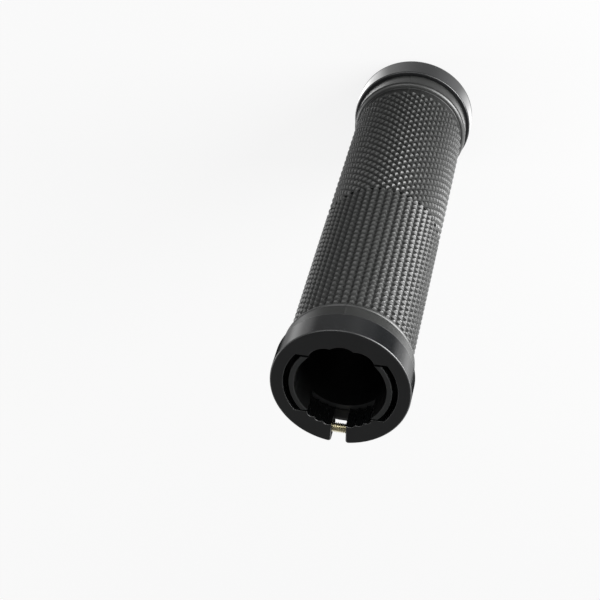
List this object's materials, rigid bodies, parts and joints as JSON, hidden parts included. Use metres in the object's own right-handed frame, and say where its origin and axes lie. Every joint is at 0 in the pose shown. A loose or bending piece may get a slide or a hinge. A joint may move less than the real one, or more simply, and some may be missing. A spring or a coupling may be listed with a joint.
{
  "type": "handlebar grip",
  "caption": "Lock-on bicycle handlebar grip: knurled rubber sleeve over a hard plastic core, clamped to the bar by a split aluminium ring at each end.",
  "frame": {"origin": "middle of the outboard clamp ring's end face, on which the grip stands", "axes": "+Z along the bore from the outboard end to the inboard end; both ring splits face -Y; +X is square to them"},
  "size_m": [0.034, 0.0339, 0.132],
  "materials": {
    "rubber": "matte, knurled",
    "core_plastic": "satin moulded",
    "anodised_ring": "gloss black anodised",
    "plated_screw": "yellow zinc plated"
  },
  "bodies": {
    "root": {"grip_sleeve": "rubber", "inner_core": "core_plastic", "inboard_clamp_ring": "anodised_ring", "outboard_clamp_ring": "anodised_ring", "inboard_clamp_screw": "plated_screw", "outboard_clamp_screw": "plated_screw"}
  },
  "joints": []
}
